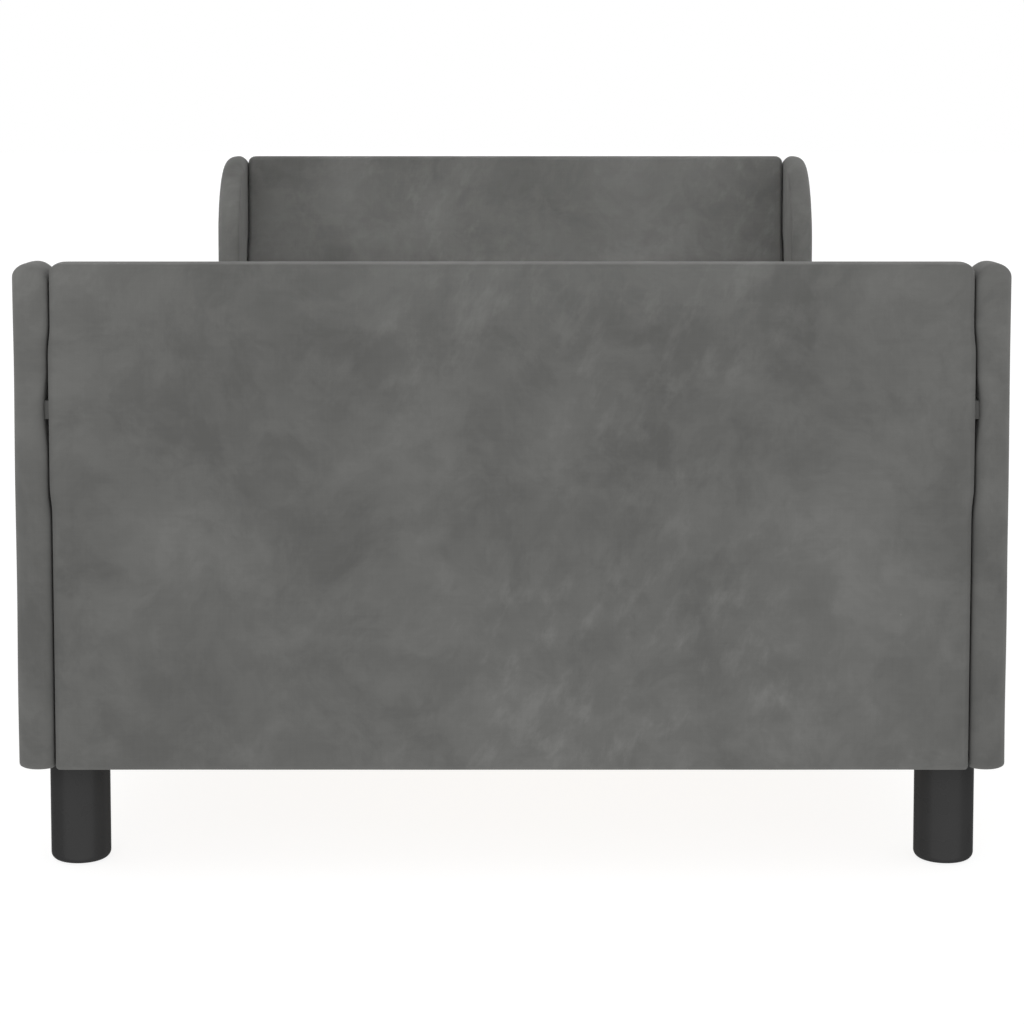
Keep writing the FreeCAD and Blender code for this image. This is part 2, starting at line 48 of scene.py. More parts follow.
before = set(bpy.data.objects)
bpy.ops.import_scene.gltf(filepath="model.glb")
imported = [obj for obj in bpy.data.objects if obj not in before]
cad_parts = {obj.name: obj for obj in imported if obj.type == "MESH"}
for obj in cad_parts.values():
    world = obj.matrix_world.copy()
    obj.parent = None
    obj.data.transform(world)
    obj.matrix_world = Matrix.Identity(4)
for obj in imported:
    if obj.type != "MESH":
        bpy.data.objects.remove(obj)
CAD_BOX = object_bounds()
MM = 0.001
ENDS = (("footboard", -1), ("headboard", 1))
SIDES = (("left", -1), ("right", 1))


# ---------------------------------------------------------------------------------------------
# Camera, light and floor
# ---------------------------------------------------------------------------------------------

IMAGE_WIDTH = 1024
CAMERA_TILT = math.radians(4.5)
CAMERA_BACK = 1.9635         # in front of the footboard's outer face
CAMERA_HEIGHT = 0.6071
CAMERA_ASIDE = 0.00645
FOCAL_PIXELS = 2546.3
PRINCIPAL_X = 520.16
PRINCIPAL_Y = 306.6
SENSOR = 36.0


def make_camera():
    camera = bpy.data.objects.new("camera", bpy.data.cameras.new("camera"))
    bpy.context.scene.collection.objects.link(camera)
    camera.location = (CAMERA_ASIDE, CAD_BOX[0].y - CAMERA_BACK, CAMERA_HEIGHT)
    camera.rotation_euler = (math.pi / 2 - CAMERA_TILT, 0, 0)
    camera.data.sensor_width = SENSOR
    camera.data.lens = FOCAL_PIXELS / IMAGE_WIDTH * SENSOR
    camera.data.shift_x = (IMAGE_WIDTH / 2 - PRINCIPAL_X) / IMAGE_WIDTH
    camera.data.shift_y = (PRINCIPAL_Y - IMAGE_WIDTH / 2) / IMAGE_WIDTH
    bpy.context.scene.camera = camera


class Nodes:
    """A small helper that adds shader nodes to a tree and links them."""

    def __init__(self, tree):
        self.tree = tree
        tree.nodes.clear()

    def add(self, kind, settings=None, **inputs):
        """A node of that kind. Inputs are set by name, with _ for a space; an output links."""
        node = self.tree.nodes.new(kind)
        for key, value in (settings or {}).items():
            setattr(node, key, value)
        for key, value in inputs.items():
            if key[:2] == "in" and key[2:].isdigit():
                socket = node.inputs[int(key[2:])]
            else:
                socket = node.inputs[key.replace("_", " ")]
            if isinstance(value, bpy.types.NodeSocket):
                self.tree.links.new(value, socket)
            else:
                socket.default_value = value
        return node

    def ramp(self, value, stops):
        """A colour ramp with (place, colour) stops."""
        node = self.add("ShaderNodeValToRGB", Fac=value)
        elements = node.color_ramp.elements
        while len(elements) < len(stops):
            elements.new(0.5)
        for element, (place, colour) in zip(elements, stops):
            element.position = place
            element.color = (*colour, 1.0)
        return node.outputs["Color"]

    def noise(self, vector, scale, detail=2.0, roughness=0.5):
        node = self.add("ShaderNodeTexNoise", Vector=vector, Scale=scale, Detail=detail,
                        Roughness=roughness)
        return node.outputs["Fac"]

    def mix(self, factor, first, second, blend="MIX"):
        node = self.add("ShaderNodeMix", {"data_type": "RGBA", "blend_type": blend})
        for socket, value in ((0, factor), (6, first), (7, second)):
            if isinstance(value, bpy.types.NodeSocket):
                self.tree.links.new(value, node.inputs[socket])
            else:
                node.inputs[socket].default_value = value
        return node.outputs[2]

    def step(self, value, low, high):
        """0 below low, 1 above high, and a smooth step between."""
        node = self.add("ShaderNodeMapRange", {"interpolation_type": "SMOOTHSTEP"}, Value=value,
                        From_Min=low, From_Max=high)
        return node.outputs[0]

    def stretch(self, vector, scale, turn=(0, 0, 0)):
        return self.add("ShaderNodeMapping", Vector=vector, Scale=scale, Rotation=turn).outputs[0]

    def math(self, operation, first, second=0.5):
        node = self.add("ShaderNodeMath", {"operation": operation}, in0=first, in1=second)
        return node.outputs[0]

    def bump(self, height, strength, distance, normal=None):
        extra = {"Normal": normal} if normal else {}
        node = self.add("ShaderNodeBump", Height=height, Strength=strength, Distance=distance,
                        **extra)
        return node.outputs["Normal"]


def make_world():
    """A pale studio: bright above, in front and behind, darker at the sides, white where seen."""
    world = bpy.data.worlds.new("studio")
    bpy.context.scene.world = world
    world.use_nodes = True
    make = Nodes(world.node_tree)
    direction = make.add("ShaderNodeTexCoord").outputs["Generated"]
    axes = make.add("ShaderNodeSeparateXYZ", Vector=direction)
    along = make.add("ShaderNodeMapRange", Value=axes.outputs["Y"], From_Min=-1.0, From_Max=1.0)
    grey = [(0.0, 1.02), (0.22, 1.02), (0.30, 0.45), (0.66, 0.45), (0.76, 0.95), (1.0, 0.95)]
    around = make.ramp(along.outputs[0], [(place, (level,) * 3) for place, level in grey])
    up = make.add("ShaderNodeMapRange", Value=axes.outputs["Z"], From_Min=0.12, From_Max=0.42)
    colour = make.mix(up.outputs[0], around, (0.95, 0.95, 0.95, 1.0))
    lighting = make.add("ShaderNodeBackground", Color=colour, Strength=1.0)
    seen = make.add("ShaderNodeBackground", Color=(1.0, 1.0, 1.0, 1.0), Strength=1.0)
    direct = make.add("ShaderNodeLightPath").outputs["Is Camera Ray"]
    both = make.add("ShaderNodeMixShader", Fac=direct, in1=lighting.outputs[0],
                    in2=seen.outputs[0])
    make.add("ShaderNodeOutputWorld", Surface=both.outputs[0])


def make_floor():
    """A plain pale floor, wide enough to meet the pale background, and left out of reflections."""
    half = 30.0
    mesh = bpy.data.meshes.new("floor")
    mesh.from_pydata([(-half, -half, 0), (half, -half, 0), (half, half, 0), (-half, half, 0)], [],
                     [(0, 1, 2, 3)])
    floor = bpy.data.objects.new("floor", mesh)
    floor.location.z = -0.5 * MM
    floor.visible_glossy = False
    bpy.context.scene.collection.objects.link(floor)
    material = bpy.data.materials.new("floor_paint")
    material.use_nodes = True
    make = Nodes(material.node_tree)
    paint = make.add("ShaderNodeBsdfDiffuse", Color=(0.22, 0.22, 0.22, 1.0))
    glow = make.add("ShaderNodeEmission", Color=(1.0, 1.0, 1.0, 1.0), Strength=0.86)
    both = make.add("ShaderNodeAddShader", in0=paint.outputs[0], in1=glow.outputs[0])
    make.add("ShaderNodeOutputMaterial", Surface=both.outputs[0])
    mesh.materials.append(material)


def make_light(name, place, target, size, power, spread=math.pi):
    """A soft rectangular lamp aimed at a point, which doesn't show in reflections."""
    lamp = bpy.data.objects.new(name, bpy.data.lights.new(name, "AREA"))
    lamp.data.spread = spread
    lamp.data.shape = "RECTANGLE"
    lamp.data.size, lamp.data.size_y = size
    lamp.data.energy = power
    lamp.location = place
    lamp.visible_glossy = False
    lamp.rotation_euler = (Vector(target) - Vector(place)).to_track_quat("-Z", "Y").to_euler()
    bpy.context.scene.collection.objects.link(lamp)


# ---------------------------------------------------------------------------------------------
# Materials
# ---------------------------------------------------------------------------------------------

def new_material(name, **shader):
    """A material with a Principled shader, as (material, Nodes, shader, object coordinates)."""
    material = bpy.data.materials.new(name)
    material.use_nodes = True
    make = Nodes(material.node_tree)
    bsdf = make.add("ShaderNodeBsdfPrincipled", **shader)
    make.add("ShaderNodeOutputMaterial", Surface=bsdf.outputs[0])
    place = make.add("ShaderNodeTexCoord").outputs["Object"]
    return material, make, bsdf, place


def velvet_material():
    """Short grey pile: cloudy where it was brushed, with slanting strokes, weave and specks."""
    material, make, bsdf, place = new_material(
        "velvet", Roughness=0.92, Specular_IOR_Level=0.12, Sheen_Weight=0.12,
        Sheen_Roughness=0.55, Sheen_Tint=(0.80, 0.80, 0.78, 1.0))
    warp = make.add("ShaderNodeTexNoise", Vector=place, Scale=7.0, Detail=3.0).outputs["Color"]
    bent = make.add("ShaderNodeVectorMath", {"operation": "MULTIPLY_ADD"}, in0=warp,
                    in1=(0.10, 0.10, 0.10), in2=place).outputs[0]
    clouds = make.noise(bent, 5.5, 5.0, 0.62)
    patches = make.step(make.noise(bent, 13.0, 6.0, 0.66), 0.43, 0.57)
    turned = make.stretch(place, (1.0, 1.0, 1.0), (0.42, -0.42, 0.0))
    slant = make.stretch(turned, (56.0, 56.0, 14.0))
    strokes = make.step(make.noise(slant, 1.0, 5.0, 0.62), 0.48, 0.70)
    blots = make.step(make.noise(bent, 47.0, 4.0, 0.62), 0.44, 0.60)
    cluster = make.step(make.noise(place, 4.2, 1.0), 0.45, 0.62)
    brushed = make.math("MULTIPLY", strokes, cluster)
    upright = make.noise(make.stretch(place, (620.0, 620.0, 26.0)), 1.0, 3.0, 0.6)
    level = make.noise(make.stretch(place, (26.0, 26.0, 620.0)), 1.0, 3.0, 0.6)
    weave = make.math("ADD", upright, level)
    pile = make.noise(place, 1100.0, 2.0, 0.7)

    mood = clouds
    for layer, share in ((patches, 0.11), (brushed, 0.18), (blots, 0.055), (weave, 0.075),
                         (pile, 0.05)):
        mood = make.math("ADD", mood, make.math("MULTIPLY", layer, share))
    tone = make.ramp(make.math("SUBTRACT", mood, 0.275), [
        (0.20, (0.0915, 0.0915, 0.0880)), (0.50, (0.1240, 0.1240, 0.1193)),
        (0.90, (0.175, 0.175, 0.169))])
    spots = make.add("ShaderNodeTexVoronoi", Vector=place, Scale=46.0).outputs
    dot = make.add("ShaderNodeMapRange", Value=spots["Distance"], From_Min=0.03, From_Max=0.055,
                   To_Min=1.0, To_Max=0.0)
    draw = make.add("ShaderNodeSeparateColor", Color=spots["Color"]).outputs[0]
    rare = make.math("GREATER_THAN", draw, 0.965)
    speck = make.math("MULTIPLY", make.math("MULTIPLY", dot.outputs[0], rare), 0.5)
    colour = make.mix(speck, tone, (0.19, 0.188, 0.182, 1.0))
    make.tree.links.new(colour, bsdf.inputs["Base Color"])
    soft = make.bump(make.math("ADD", brushed, patches), 0.08, 0.8 * MM)
    fine = make.bump(weave, 0.10, 0.25 * MM, soft)
    make.tree.links.new(make.bump(pile, 0.22, 0.30 * MM, fine), bsdf.inputs["Normal"])
    return material


def wood_material(name, axis, light, dark, rings=26.0, roughness=0.52):
    """Planed timber with its grain along one axis, 0, 1 or 2."""
    material, make, bsdf, place = new_material(name, Roughness=roughness, Specular_IOR_Level=0.35)
    across = [1.0, 1.0, 1.0]
    across[axis] = 0.045
    long_grain = make.stretch(place, across)
    wander = make.noise(long_grain, 9.0, 3.0, 0.5)
    ring = make.math("FRACT", make.math("MULTIPLY", wander, rings), 0.0)
    pore_scale = [900.0, 900.0, 900.0]
    pore_scale[axis] = 14.0
    pores = make.noise(make.stretch(place, pore_scale), 1.0, 3.0, 0.6)
    figure = make.math("ADD", make.math("MULTIPLY", ring, 0.55),
                       make.math("MULTIPLY", pores, 0.45))
    tone = make.ramp(figure, [(0.12, dark), (0.45, light), (0.80, light), (1.0, dark)])
    patches = make.ramp(make.noise(place, 5.0, 2.0),
                        [(0.3, (0.90, 0.88, 0.86)), (0.7, (1.06, 1.05, 1.04))])
    make.tree.links.new(make.mix(1.0, tone, patches, "MULTIPLY"), bsdf.inputs["Base Color"])
    make.tree.links.new(make.bump(pores, 0.18, 0.25 * MM), bsdf.inputs["Normal"])
    return material


def plywood_material(name, axis):
    """Birch plywood: pale faces, and thin layers that show on its edges, stacked along an axis."""
    material, make, bsdf, place = new_material(name, Roughness=0.6, Specular_IOR_Level=0.3)
    axes = make.add("ShaderNodeSeparateXYZ", Vector=place)
    sheet = 1.5 * MM
    layer = make.math("PINGPONG", axes.outputs[axis], sheet)
    stripe = make.ramp(make.math("DIVIDE", layer, sheet), [
        (0.0, (0.30, 0.19, 0.10)), (0.25, (0.62, 0.47, 0.30)), (1.0, (0.66, 0.51, 0.34))])
    fleck = make.noise(make.stretch(place, (300.0, 300.0, 24.0)), 1.0, 3.0)
    shade = make.ramp(fleck, [(0.3, (0.86, 0.84, 0.82)), (0.7, (1.05, 1.04, 1.03))])
    make.tree.links.new(make.mix(1.0, stripe, shade, "MULTIPLY"), bsdf.inputs["Base Color"])
    make.tree.links.new(make.bump(fleck, 0.15, 0.2 * MM), bsdf.inputs["Normal"])
    return material


def plastic_material(name, colour, roughness, grain, gloss, metallic=0.0):
    """Moulded plastic with a fine grain; a metallic share gives an even, satin lacquer gloss."""
    material, make, bsdf, place = new_material(
        name, Roughness=roughness, Specular_IOR_Level=gloss, Metallic=metallic,
        Specular_Tint=(0.45, 0.45, 0.45, 1.0) if metallic else (1.0, 1.0, 1.0, 1.0))
    speck = make.noise(place, 2200.0, 2.0, 0.6)
    smear = make.noise(place, 45.0, 3.0, 0.5)
    low, high = tuple(0.975 * c for c in colour), tuple(1.025 * c for c in colour)
    make.tree.links.new(make.ramp(smear, [(0.3, low), (0.7, high)]), bsdf.inputs["Base Color"])
    rough = make.add("ShaderNodeMapRange", Value=smear, From_Min=0.3, From_Max=0.7,
                     To_Min=roughness - 0.03, To_Max=roughness + 0.04)
    make.tree.links.new(rough.outputs[0], bsdf.inputs["Roughness"])
    make.tree.links.new(make.bump(speck, grain, 0.05 * MM), bsdf.inputs["Normal"])
    return material


def steel_material(name, colour, roughness, metallic):
    """Plated or coated steel with a little unevenness."""
    material, make, bsdf, place = new_material(name, Metallic=metallic, Roughness=roughness)
    mottle = make.noise(place, 160.0, 4.0, 0.6)
    low, high = tuple(0.82 * c for c in colour), tuple(1.1 * c for c in colour)
    make.tree.links.new(make.ramp(mottle, [(0.3, low), (0.7, high)]), bsdf.inputs["Base Color"])
    rough = make.add("ShaderNodeMapRange", Value=mottle, From_Min=0.3, From_Max=0.7,
                     To_Min=roughness - 0.06, To_Max=roughness + 0.08)
    make.tree.links.new(rough.outputs[0], bsdf.inputs["Roughness"])
    make.tree.links.new(make.bump(mottle, 0.12, 0.1 * MM), bsdf.inputs["Normal"])
    return material


def knit_material(name, light, dark, pitch=1.3 * MM):
    """Fine knitted cover cloth: crossing rows of small stitches."""
    material, make, bsdf, place = new_material(
        name, Roughness=0.9, Specular_IOR_Level=0.2, Sheen_Weight=0.25, Sheen_Roughness=0.5,
        Sheen_Tint=(1.0, 0.99, 0.97, 1.0))
    axes = make.add("ShaderNodeSeparateXYZ", Vector=place)
    around = 2 * math.pi / pitch
    across = make.math("ADD", axes.outputs["X"], axes.outputs["Z"])
    rows = make.math("SINE", make.math("MULTIPLY", across, around))
    columns = make.math("SINE", make.math("MULTIPLY", axes.outputs["Y"], around))
    weave = make.math("MULTIPLY", rows, columns)
    unit = make.add("ShaderNodeMapRange", Value=weave, From_Min=-1.0, From_Max=1.0).outputs[0]
    cloud = make.noise(place, 14.0, 3.0)
    lightness = make.math("ADD", make.math("MULTIPLY", unit, 0.5),
                          make.math("MULTIPLY", cloud, 0.5))
    tone = make.mix(lightness, (*dark, 1.0), (*light, 1.0))
    make.tree.links.new(tone, bsdf.inputs["Base Color"])
    make.tree.links.new(make.bump(unit, 0.35, 0.3 * MM), bsdf.inputs["Normal"])
    return material


def make_materials():
    pine, pine_dark = (0.63, 0.45, 0.255), (0.47, 0.30, 0.145)
    return {
        "velvet": velvet_material(),
        "slat_timber": wood_material("slat_timber", 0, (0.68, 0.51, 0.31), (0.52, 0.36, 0.19)),
        "timber_x": wood_material("timber_x", 0, pine, pine_dark),
        "timber_y": wood_material("timber_y", 1, pine, pine_dark),
        "timber_z": wood_material("timber_z", 2, pine, pine_dark),
        "plywood_x": plywood_material("plywood_x", 0),
        "plywood_y": plywood_material("plywood_y", 1),
        "leg_plastic": plastic_material("leg_plastic", (0.0451, 0.0451, 0.0451), roughness=0.28,
                                        grain=0.03, gloss=0.0, metallic=0.41),
        "bracket_plastic": plastic_material("bracket_plastic", (0.125, 0.125, 0.120),
                                            roughness=0.60, grain=0.10, gloss=0.3),
        "zinc_steel": steel_material("zinc_steel", (0.60, 0.60, 0.58), 0.34, 1.0),
        "plate_steel": steel_material("plate_steel", (0.028, 0.028, 0.030), 0.42, 0.0),
        "mattress_cloth": knit_material("mattress_cloth", (0.63, 0.625, 0.605),
                                        (0.53, 0.525, 0.51)),
        "piping_cloth": knit_material("piping_cloth", (0.36, 0.36, 0.355), (0.30, 0.30, 0.295)),
    }


def paint(thing, material):
    thing.data.materials.clear()
    thing.data.materials.append(material)


def paint_frame(materials):
    """Gives every CAD node that stays its own material."""
    for name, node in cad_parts.items():
        if "stile" in name or "corner_block" in name:
            paint(node, materials["timber_z"])
        elif name.endswith(("top_rail", "bottom_rail")):
            paint(node, materials["timber_x"])
        elif "ledger_" in name and "screws" not in name:
            paint(node, materials["timber_y"])
        elif name.endswith("_ply"):
            paint(node, materials["plywood_y"])
        elif "wing_core" in name or "rail_board" in name:
            paint(node, materials["plywood_x"])
        elif name.startswith("slat_") and name[5:].isdigit():
            paint(node, materials["slat_timber"])
        elif "_leg_" in name:
            paint(node, materials["leg_plastic"])
        elif name == "wing_brackets":
            paint(node, materials["bracket_plastic"])
        elif name == "rail_plates":
            paint(node, materials["plate_steel"])
        elif name.endswith(("bolts", "screws", "nuts", "studs")):
            paint(node, materials["zinc_steel"])


# ---------------------------------------------------------------------------------------------
# Mesh tools
# ---------------------------------------------------------------------------------------------

def new_piece(name, vertices, faces, material, body):
    """A smooth mesh that rides on a body and is given the material passed in."""
    mesh = bpy.data.meshes.new(name)
    mesh.from_pydata([tuple(v) for v in vertices], [], faces)
    shell = bmesh.new()
    shell.from_mesh(mesh)
    bmesh.ops.remove_doubles(shell, verts=shell.verts, dist=0.02 * MM)
    bmesh.ops.recalc_face_normals(shell, faces=shell.faces)
    shell.to_mesh(mesh)
    shell.free()
    mesh.polygons.foreach_set("use_smooth", [True] * len(mesh.polygons))
    mesh.materials.append(material)
    piece = bpy.data.objects.new(name, mesh)
    bpy.context.scene.collection.objects.link(piece)
    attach(piece, body)
    return piece


def subdivide(piece, levels=1):
    modifier = piece.modifiers.new("soften", "SUBSURF")
    modifier.levels = levels
    modifier.render_levels = levels


def rounded_sides(low, high, radii, steps):
    """The four sides of a rectangle with rounded corners, each a list of (u, v), in a ring.

    radii are for the corners low-low, high-low, high-high and low-high. Half of each corner's arc
    belongs to each of its two sides. steps are the points of a short arc half, of a long arc half,
    and of the straight stretch along u and along v.
    """
    short, long, count_u, count_v = steps
    (u0, v0), (u1, v1) = low, high
    corners = ((u0, v0, 180), (u1, v0, 270), (u1, v1, 0), (u0, v1, 90))
    biggest = max(radii)
    halves = []
    for (u, v, start), radius in zip(corners, radii):
        inward_u = radius if u == u0 else -radius
        inward_v = radius if v == v0 else -radius
        count = long if radius == biggest and long != short else short
        angles = [math.radians(start + 45 * i / count) for i in range(2 * count + 1)]
        arc = [(u + inward_u + radius * math.cos(a), v + inward_v + radius * math.sin(a))
               for a in angles]
        halves.append((arc[: count + 1], arc[count:], count))
    sides = []
    for k in range(4):
        leaving, arriving = halves[k], halves[(k + 1) % 4]
        straight = (count_u if k % 2 == 0 else count_v) + 2 * short - leaving[2] - arriving[2]
        start, end = leaving[1][-1], arriving[0][0]
        middle = [tuple(a + (b - a) * i / straight for a, b in zip(start, end))
                  for i in range(1, straight)]
        sides.append(leaving[1] + middle + arriving[0])
    return sides


def crowned(power):
    """An edge's profile: a quarter of an ellipse, and fuller with a power above 2.

    A profile turns a share of the way round the edge into (share of the inset, share of the way
    from the ridge to the face).
    """
    def profile(share):
        turn = math.pi / 2 * (1 - share)
        return 1 - math.sin(turn) ** (2 / power), math.cos(turn) ** (2 / power)
    return profile


def rolled(band):
    """An edge's profile that stays nearly flat and turns over in the last band of the way."""
    flat, crown = 0.35, 0.12

    def profile(share):
        if share < flat:
            part = share / flat
            return crown * part ** 2, (1 - band) * part
        part = (share - flat) / (1 - flat)
        return crown + (1 - crown) * part ** 1.1, 1 - band + band * part ** 0.8
    return profile


def slab(outline, faces, ridge):
    """A padded slab as (vertices, faces): (u, v, n) points, where n runs through the thickness.

    outline(inset) gives the four sides at that inset. faces is ((n of a face, depth of its edge's
    inset, profile of its edge), ...), and ridge is the n where the slab reaches furthest out.
    """
    rounds = 7
    vertices, polygons = [], []

    def ring(inset, n):
        start = len(vertices)
        loop = [p for side in outline(inset) for p in side[:-1]]
        vertices.extend((u, v, n) for u, v in loop)
        return start, len(loop)

    first, size = ring(0.0, ridge)
    for face_n, depth, profile in faces:
        previous = first
        for j in range(1, rounds + 1):
            inward, outward = profile(j / rounds)
            current, size = ring(depth * inward, ridge + (face_n - ridge) * outward)
            for i in range(size):
                k = (i + 1) % size
                polygons.append((previous + i, previous + k, current + k, current + i))
            previous = current
        bottom, right, top, left = outline(depth)
        top, left = top[::-1], left[::-1]
        columns, rows = len(bottom), len(right)
        grid = {}
        for i in range(columns):
            for j in range(rows):
                s, t = i / (columns - 1), j / (rows - 1)
                # each point of a face is blended from the face's four sides
                point = [
                    (1 - t) * bottom[i][a] + t * top[i][a] + (1 - s) * left[j][a] + s * right[j][a]
                    - (1 - s) * (1 - t) * bottom[0][a] - s * (1 - t) * bottom[-1][a]
                    - (1 - s) * t * top[0][a] - s * t * top[-1][a]
                    for a in (0, 1)
                ]
                grid[i, j] = len(vertices)
                vertices.append((point[0], point[1], face_n))
        for i in range(columns - 1):
            for j in range(rows - 1):
                polygons.append((grid[i, j], grid[i + 1, j], grid[i + 1, j + 1], grid[i, j + 1]))
    return vertices, polygons


def rise(value, low, high):
    """0 below low, 1 above high, and a smooth step between."""
    t = min(max((value - low) / (high - low), 0.0), 1.0)
    return t * t * (3 - 2 * t)


def hump(value, low, high, edge):
    """1 between low and high, and 0 further out than edge on either side."""
    return rise(value, low - edge, low) * (1 - rise(value, high, high + edge))


def waver(point, wave, seed):
    """A slow random wave from -1 to 1."""
    return noise.noise(Vector(point) / wave + Vector((seed, 3.7 * seed, 0.0)))


# ---------------------------------------------------------------------------------------------
# Upholstery
# ---------------------------------------------------------------------------------------------

BRACKET_LOW, BRACKET_HIGH = (corner.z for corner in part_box("wing_brackets"))
BRACKET_Z = (BRACKET_LOW + BRACKET_HIGH) / 2
PULL_ABOVE = 0.050           # how far the bracket spreads board and wing apart, up
PULL_BELOW = 0.069           # and down
PULL_DEPTH = 1.8 * MM
PROUD = 0.4 * MM             # how far board and wing swell into the gap between them
NOTCH_HALF = 0.0265          # dark notch in the wing's padding round the bracket
NOTCH_DEPTH = 2.9 * MM

BOARD_TOP_CORNER = 8.5 * MM  # a board's rounded corners, seen from the front
BOARD_BASE_CORNER = 4.0 * MM
BOARD_EDGE = 4.4 * MM        # how far a board's edges are rounded back from its outline
BOARD_ROLL = 3.4 * MM        # band in which a board's cloth turns over its edges
BOARD_CROWN = 0.9 * MM
BOARD_RIPPLE = 0.55 * MM

PAD_RIDGE = 15.0 * MM        # from the outer face of a wing or side rail to its fullest line
WING_CURVE = 0.109           # large round corner of a wing
WING_CORNER = 9.0 * MM       # its other corners
SHOULDER = 7.0 * MM          # how much further a wing's top falls away beside the board
BESIDE_BOARD = (0.036, 0.06) # along the bed, where a wing's inner face leaves the board's end
UNDERSIDE = 0.42             # how much tighter a wing or side rail is rounded along its underside
RAIL_CORNER = 7.0 * MM       # a side rail's corners, seen from the side


def pulled(z, edge):
    """1 where the bracket spreads board and wing apart, and 0 further away than edge."""
    return hump(z, BRACKET_Z - PULL_BELOW, BRACKET_Z + PULL_ABOVE, edge)


def make_board(end, along, materials):
    """Velvet over foam: flat faces with a faint crown and soft unevenness, edges turned over."""
    node = f"{end}_upholstery"
    low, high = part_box(node)
    corners = (BOARD_BASE_CORNER, BOARD_BASE_CORNER, BOARD_TOP_CORNER, BOARD_TOP_CORNER)

    def outline(inset):
        radii = [max(corner - inset, 0.4 * MM) for corner in corners]
        return rounded_sides((low.x + inset, low.z + inset), (high.x - inset, high.z - inset),
                             radii, (3, 3, 62, 34))

    middle = (low.y + high.y) / 2
    edge = rolled(BOARD_ROLL / (high.y - middle))
    faces = ((low.y, BOARD_EDGE, edge), (high.y, BOARD_EDGE, edge))
    points, polygons = slab(outline, faces, middle)
    half = (high.x - low.x) / 2
    vertices = []
    for x, z, y in points:
        outside = 1 if y > middle else -1
        depth = min(half - abs(x), high.z - z, z - low.z)
        crown = (BOARD_CROWN * (rise(depth, 0.0, 0.05) - 1)
                 + BOARD_RIPPLE * waver((x, y, z), 0.11, along + 2))
        side = rise(abs(x), half - 0.02, half)
        bulge = PROUD + PULL_DEPTH * pulled(z, 0.007)
        flat = min(abs(y - middle) / (high.y - middle), 1.0)
        vertices.append((x + math.copysign(bulge * side, x), y + outside * crown * flat, z))
    finish_pad(f"{end}_velvet", vertices, polygons, materials, node)


def make_wing(end, along, side, across, materials):
    """A tall pad with one large round corner: full on its outer face, tighter beside the board."""
    node = f"{end}_wing_upholstery_{side}"
    low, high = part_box(node)
    inner, outer = sorted((low.x, high.x), key=abs)
    near, far = (low.y, high.y) if along < 0 else (high.y, low.y)
    reach = abs(far - near)

    def outline(inset):
        small = max(WING_CORNER - inset, 0.5 * MM)
        radii = [small, small, WING_CURVE - inset, small]
        return rounded_sides((inset, low.z + UNDERSIDE * inset), (reach - inset, high.z - inset),
                             radii, (3, 12, 14, 44))

    ridge = outer - across * PAD_RIDGE
    faces = ((inner, 6.5 * MM, crowned(2.0)), (outer, 15.0 * MM, crowned(2.15)))
    points, polygons = slab(outline, faces, ridge)
    vertices = []
    for u, z, x in points:
        inward = max((x - ridge) / (inner - ridge), 0.0)
        full = max((x - ridge) / (outer - ridge), 0.0)
        pull = PULL_DEPTH * pulled(z, 0.012)
        notch = NOTCH_DEPTH * max(1 - abs(z - BRACKET_Z) / NOTCH_HALF, 0.0) ** 0.6
        beside_board = 1 - rise(u, *BESIDE_BOARD)
        shift = across * inward * (pull + notch - PROUD) * beside_board
        ripple = 0.5 * MM * waver((x, u, z), 0.09, 5 + along + 3 * across)
        fall = SHOULDER * inward ** 2 * rise(z, high.z - 0.025, high.z - 0.007)
        vertices.append((x + shift + across * ripple * full, near - along * u, z - fall))
    finish_pad(f"{end}_wing_velvet_{side}", vertices, polygons, materials, node)


def make_side_rail(side, across, materials):
    """A long pad between two wings, as full as they are, with its ends pushed against them."""
    node = f"side_rail_upholstery_{side}"
    low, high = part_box(node)
    inner, outer = sorted((low.x, high.x), key=abs)

    def outline(inset):
        radii = [max(RAIL_CORNER - inset, 0.5 * MM)] * 4
        return rounded_sides((low.y + inset, low.z + UNDERSIDE * inset),
                             (high.y - inset, high.z - inset), radii, (3, 3, 96, 20))

    ridge = outer - across * PAD_RIDGE
    faces = ((inner, 7.0 * MM, crowned(2.1)), (outer, 13.0 * MM, crowned(2.2)))
    points, polygons = slab(outline, faces, ridge)
    vertices = []
    for y, z, x in points:
        full = max((x - ridge) / (outer - ridge), 0.0)
        ripple = 0.6 * MM * waver((x, y, z), 0.13, 11 + 3 * across)
        top = rise(z, high.z - 0.02, high.z)
        sag = 0.7 * MM * top * (waver((0, y, 0), 0.16, 17 + across) - 0.4)
        vertices.append((x + across * (ripple - 0.4 * MM) * full, y, z + sag))
    finish_pad(f"side_rail_velvet_{side}", vertices, polygons, materials, node)


def finish_pad(name, vertices, polygons, materials, node):
    """A velvet pad on the bed that stands for an upholstery node."""
    piece = new_piece(name, vertices, polygons, materials["velvet"], "bed")
    subdivide(piece)
    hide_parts(node)


# ---------------------------------------------------------------------------------------------
# Legs
# ---------------------------------------------------------------------------------------------

def lathe(profile, centre, around=96):
    """Turns (radius, z) points about an upright axis; the first and last points are capped."""
    vertices, polygons = [], []
    for radius, z in profile:
        for i in range(around):
            a = 2 * math.pi * i / around
            vertices.append((centre.x + radius * math.cos(a), centre.y + radius * math.sin(a), z))
    for j in range(len(profile) - 1):
        for i in range(around):
            k = (i + 1) % around
            a, b = j * around, (j + 1) * around
            polygons.append((a + i, a + k, b + k, b + i))
    last = (len(profile) - 1) * around
    polygons.append(tuple(range(around - 1, -1, -1)))
    polygons.append(tuple(range(last, last + around)))
    return vertices, polygons


